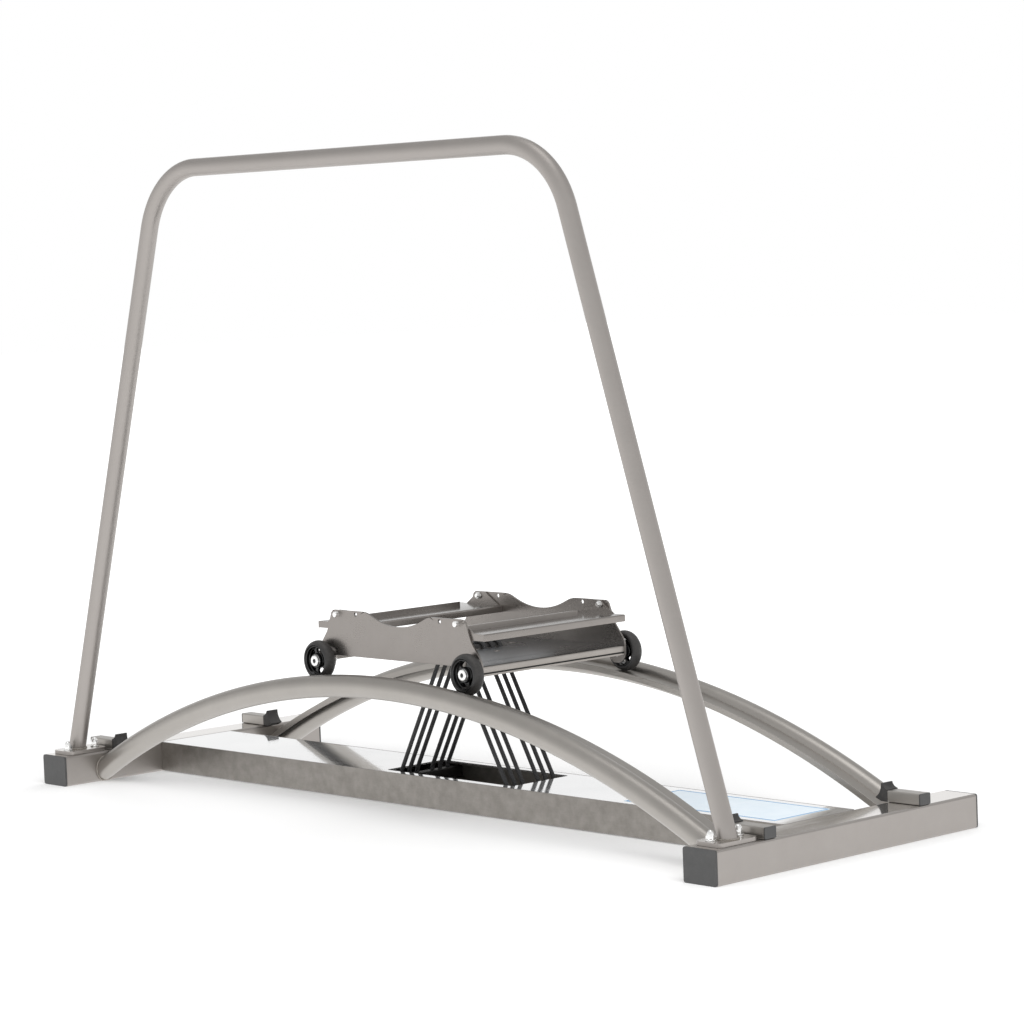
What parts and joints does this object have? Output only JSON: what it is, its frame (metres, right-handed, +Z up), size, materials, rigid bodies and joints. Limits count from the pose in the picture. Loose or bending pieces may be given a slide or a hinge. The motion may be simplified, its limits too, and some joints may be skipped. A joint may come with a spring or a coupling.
{
  "type": "ski simulator",
  "caption": "Ski simulator: a wheeled carriage with foot rails runs over two arched rails against elastic cords, beside a fixed handle hoop.",
  "frame": {"origin": "on the floor, at the middle of the frame's length and depth", "axes": "+X along the arched rails, +Y from the side with the handle hoop to the back, +Z up"},
  "size_m": [1.864, 0.668, 1.2349],
  "materials": {
    "frame_steel": "satin brushed grey, fine mottled grain",
    "box_steel": "satin sheet, fine mottled grain",
    "rail_steel": "satin tube, drawn grain",
    "hoop_steel": "satin tube, drawn grain",
    "carriage_steel": "satin brushed sheet",
    "polished_plate": "mirror polished",
    "zinc_hardware": "bright",
    "cap_plastic": "dull moulded",
    "bumper_rubber": "dull",
    "saddle_rubber": "dull",
    "cord_fabric": "tight braid over elastic",
    "wheel_tyre": "satin",
    "wheel_core": "satin moulded"
  },
  "bodies": {
    "frame": {"left_cross_beam": "frame_steel", "right_cross_beam": "frame_steel", "base_box": "box_steel", "top_plate": "polished_plate", "left_anchor_bar": "zinc_hardware", "right_anchor_bar": "zinc_hardware", "front_rail": "rail_steel", "rear_rail": "rail_steel", "front_track": "rail_steel", "rear_track": "rail_steel", "handle_hoop": "hoop_steel", "front_left_stop_block": "frame_steel", "front_right_stop_block": "frame_steel", "rear_left_stop_block": "frame_steel", "rear_right_stop_block": "frame_steel", "left_front_beam_cap": "cap_plastic", "right_front_beam_cap": "cap_plastic", "left_rear_beam_cap": "cap_plastic", "right_rear_beam_cap": "cap_plastic", "front_left_stop_cap": "cap_plastic", "front_right_stop_cap": "cap_plastic", "rear_left_stop_cap": "cap_plastic", "rear_right_stop_cap": "cap_plastic", "front_left_bumper": "bumper_rubber", "front_right_bumper": "bumper_rubber", "rear_left_bumper": "bumper_rubber", "rear_right_bumper": "bumper_rubber", "left_front_foot_bolt": "zinc_hardware", "right_front_foot_bolt": "zinc_hardware", "left_rear_foot_bolt": "zinc_hardware", "right_rear_foot_bolt": "zinc_hardware", "elastic_cord_1": "cord_fabric", "elastic_cord_2": "cord_fabric", "elastic_cord_3": "cord_fabric", "elastic_cord_4": "cord_fabric", "elastic_cord_5": "cord_fabric", "elastic_cord_6": "cord_fabric"},
    "carriage": {"front_side_plate": "carriage_steel", "rear_side_plate": "carriage_steel", "left_foot_rail": "carriage_steel", "right_foot_rail": "carriage_steel", "bottom_tray": "carriage_steel", "cord_saddle": "saddle_rubber", "front_left_corner_bolt": "zinc_hardware", "front_right_corner_bolt": "zinc_hardware", "rear_left_corner_bolt": "zinc_hardware", "rear_right_corner_bolt": "zinc_hardware", "front_left_axle": "zinc_hardware", "front_right_axle": "zinc_hardware", "rear_left_axle": "zinc_hardware", "rear_right_axle": "zinc_hardware"},
    "front_left_wheel": {"front_left_tyre": "wheel_tyre", "front_left_wheel_core": "wheel_core"},
    "front_right_wheel": {"front_right_tyre": "wheel_tyre", "front_right_wheel_core": "wheel_core"},
    "rear_left_wheel": {"rear_left_tyre": "wheel_tyre", "rear_left_wheel_core": "wheel_core"},
    "rear_right_wheel": {"rear_right_tyre": "wheel_tyre", "rear_right_wheel_core": "wheel_core"}
  },
  "joints": [
    {"name": "carriage_travel", "type": "hinge", "parent": "frame", "child": "carriage", "pos_m": [0, 0, -1.51143], "axis": [0, 1, 0], "range_deg": [-19.9, 19.9], "stiffness_Nm_per_rad": 2000, "deforming": ["elastic_cord_1", "elastic_cord_2", "elastic_cord_3", "elastic_cord_4", "elastic_cord_5", "elastic_cord_6"]},
    {"name": "front_left_wheel_spin", "type": "hinge", "parent": "carriage", "child": "front_left_wheel", "pos_m": [-0.206, -0.20103, 0.28271], "axis": [0, 1, 0], "range_deg": [-940, 940]},
    {"name": "front_right_wheel_spin", "type": "hinge", "parent": "carriage", "child": "front_right_wheel", "pos_m": [0.206, -0.20103, 0.28271], "axis": [0, 1, 0], "range_deg": [-940, 940]},
    {"name": "rear_left_wheel_spin", "type": "hinge", "parent": "carriage", "child": "rear_left_wheel", "pos_m": [-0.206, 0.20103, 0.28271], "axis": [0, 1, 0], "range_deg": [-940, 940]},
    {"name": "rear_right_wheel_spin", "type": "hinge", "parent": "carriage", "child": "rear_right_wheel", "pos_m": [0.206, 0.20103, 0.28271], "axis": [0, 1, 0], "range_deg": [-940, 940]}
  ],
  "couplings": [
    {"joint": "front_left_wheel_spin", "follows": "carriage_travel", "ratio": 46.511},
    {"joint": "front_right_wheel_spin", "follows": "carriage_travel", "ratio": 46.511},
    {"joint": "rear_left_wheel_spin", "follows": "carriage_travel", "ratio": 46.511},
    {"joint": "rear_right_wheel_spin", "follows": "carriage_travel", "ratio": 46.511}
  ]
}
